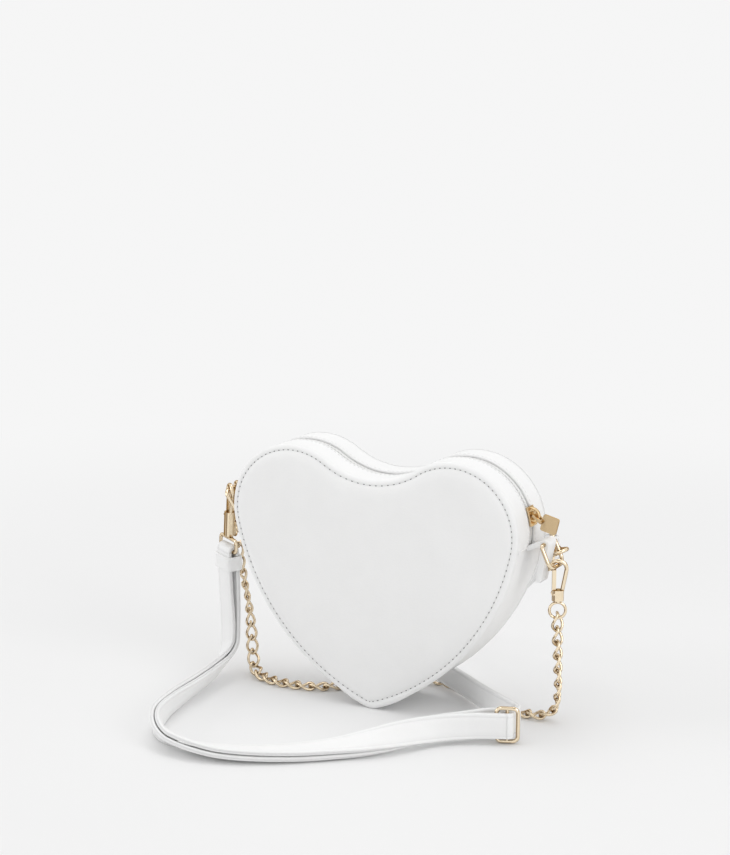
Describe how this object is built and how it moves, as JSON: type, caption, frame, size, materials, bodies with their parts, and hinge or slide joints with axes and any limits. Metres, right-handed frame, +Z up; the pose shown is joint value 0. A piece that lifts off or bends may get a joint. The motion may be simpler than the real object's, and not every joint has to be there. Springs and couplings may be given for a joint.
{
  "type": "heart shaped shoulder bag",
  "caption": "Heart shaped zipped leather bag on its tip, with D rings, a snap hook shoulder strap with slider buckle, and a link chain.",
  "frame": {"origin": "on the floor under the tip of the heart, half way through the bag's depth", "axes": "+X to the right of the front panel, +Y from front to back, +Z up"},
  "size_m": [0.2463, 0.2742, 0.1651],
  "materials": {
    "white_leather": "fine grained, satin",
    "gold_metal": "polished pale gold",
    "zip_tape": "woven",
    "zip_teeth": "moulded",
    "lining": "plain woven",
    "board": "matt board"
  },
  "bodies": {
    "bag": {"back_panel": "white_leather", "back_stiffener": "board", "chain_links": "gold_metal", "front_panel": "white_leather", "front_stiffener": "board", "left_chain_hook_eye": "gold_metal", "left_strap_hook_eye": "gold_metal", "left_tab": "white_leather", "lining": "lining", "lower_gusset": "white_leather", "rear_strap_hook_eye": "gold_metal", "right_chain_hook_eye": "gold_metal", "right_tab": "white_leather", "slider_buckle": "gold_metal", "strap_back_run": "white_leather", "strap_buckle_fold": "white_leather", "strap_left_fold": "white_leather", "strap_left_keeper": "white_leather", "strap_rear_fold": "white_leather", "strap_rear_keeper": "white_leather", "strap_rear_lap": "white_leather", "strap_tail_loop": "white_leather", "strap_tail_run": "white_leather", "strap_through_run": "white_leather", "upper_gusset_front": "white_leather", "upper_gusset_rear": "white_leather", "zip_end_stops": "gold_metal", "zip_tape_front": "zip_tape", "zip_tape_rear": "zip_tape", "zip_teeth_front": "zip_teeth", "zip_teeth_rear": "zip_teeth"},
    "zip_slider": {"zip_slider": "gold_metal"},
    "zip_pull": {"zip_pull": "gold_metal"},
    "right_ring": {"right_d_ring": "gold_metal"},
    "left_ring": {"left_d_ring": "gold_metal"},
    "right_chain_hook": {"right_chain_hook_body": "gold_metal", "right_chain_hook_pin": "gold_metal"},
    "right_chain_hook_latch": {"right_chain_hook_gate": "gold_metal"},
    "left_chain_hook": {"left_chain_hook_body": "gold_metal", "left_chain_hook_pin": "gold_metal"},
    "left_chain_hook_latch": {"left_chain_hook_gate": "gold_metal"},
    "left_strap_hook": {"left_strap_hook_body": "gold_metal", "left_strap_hook_pin": "gold_metal"},
    "left_strap_hook_latch": {"left_strap_hook_gate": "gold_metal"},
    "rear_strap_hook": {"rear_strap_hook_body": "gold_metal", "rear_strap_hook_pin": "gold_metal"},
    "rear_strap_hook_latch": {"rear_strap_hook_gate": "gold_metal"}
  },
  "joints": [
    {"name": "zip_travel", "type": "hinge", "parent": "bag", "child": "zip_slider", "pos_m": [0.055, 0, 0.12], "axis": [0, -1, 0], "range_deg": [0, 104], "deforming": ["zip_teeth_front", "zip_teeth_rear"]},
    {"name": "zip_pull_flip", "type": "hinge", "parent": "zip_slider", "child": "zip_pull", "pos_m": [0.10012, 0, 0.13167], "axis": [0, -1, 0], "range_deg": [0, 90]},
    {"name": "right_ring_swing", "type": "hinge", "parent": "bag", "child": "right_ring", "pos_m": [0.10869, 0, 0.11578], "axis": [0, 1, 0], "range_deg": [-1, 3]},
    {"name": "left_ring_swing", "type": "hinge", "parent": "bag", "child": "left_ring", "pos_m": [-0.104, 0, 0.1125], "axis": [0, 1, 0], "range_deg": [-2, 0.5]},
    {"name": "right_chain_hook_swivel", "type": "hinge", "parent": "bag", "child": "right_chain_hook", "pos_m": [0.11479, 0.002, 0.08018], "axis": [0, 0, 1], "range_deg": [-40, 15]},
    {"name": "right_chain_hook_gate_open", "type": "hinge", "parent": "right_chain_hook", "child": "right_chain_hook_latch", "pos_m": [0.11267, 0.00087, 0.08458], "axis": [-0.4695, 0.8829, 0], "range_deg": [0, 14], "stiffness_Nm_per_rad": 0.02},
    {"name": "left_chain_hook_swivel", "type": "hinge", "parent": "bag", "child": "left_chain_hook", "pos_m": [-0.11364, 0.0052, 0.10299], "axis": [0.0523, 0, 0.9986], "range_deg": [-5, 8]},
    {"name": "left_chain_hook_gate_open", "type": "hinge", "parent": "left_chain_hook", "child": "left_chain_hook_latch", "pos_m": [-0.11519, 0.00681, 0.10748], "axis": [0.6687, 0.7427, -0.035], "range_deg": [0, 14], "stiffness_Nm_per_rad": 0.02},
    {"name": "left_strap_hook_swivel", "type": "hinge", "parent": "bag", "child": "left_strap_hook", "pos_m": [-0.11413, -0.0035, 0.0936], "axis": [0.0523, 0, 0.9986], "range_deg": [-5, 8]},
    {"name": "left_strap_hook_gate_open", "type": "hinge", "parent": "left_strap_hook", "child": "left_strap_hook_latch", "pos_m": [-0.11519, -0.00189, 0.10748], "axis": [0.6687, 0.7427, -0.035], "range_deg": [0, 14], "stiffness_Nm_per_rad": 0.02},
    {"name": "rear_strap_hook_swivel", "type": "hinge", "parent": "bag", "child": "rear_strap_hook", "pos_m": [0.097, 0.03674, 0.10127], "axis": [0.4841, -0.848, 0.2155], "range_deg": [-12, 20]},
    {"name": "rear_strap_hook_gate_open", "type": "hinge", "parent": "rear_strap_hook", "child": "rear_strap_hook_latch", "pos_m": [0.10182, 0.02377, 0.10342], "axis": [-0.4067, 0, 0.9135], "range_deg": [0, 14], "stiffness_Nm_per_rad": 0.02}
  ]
}
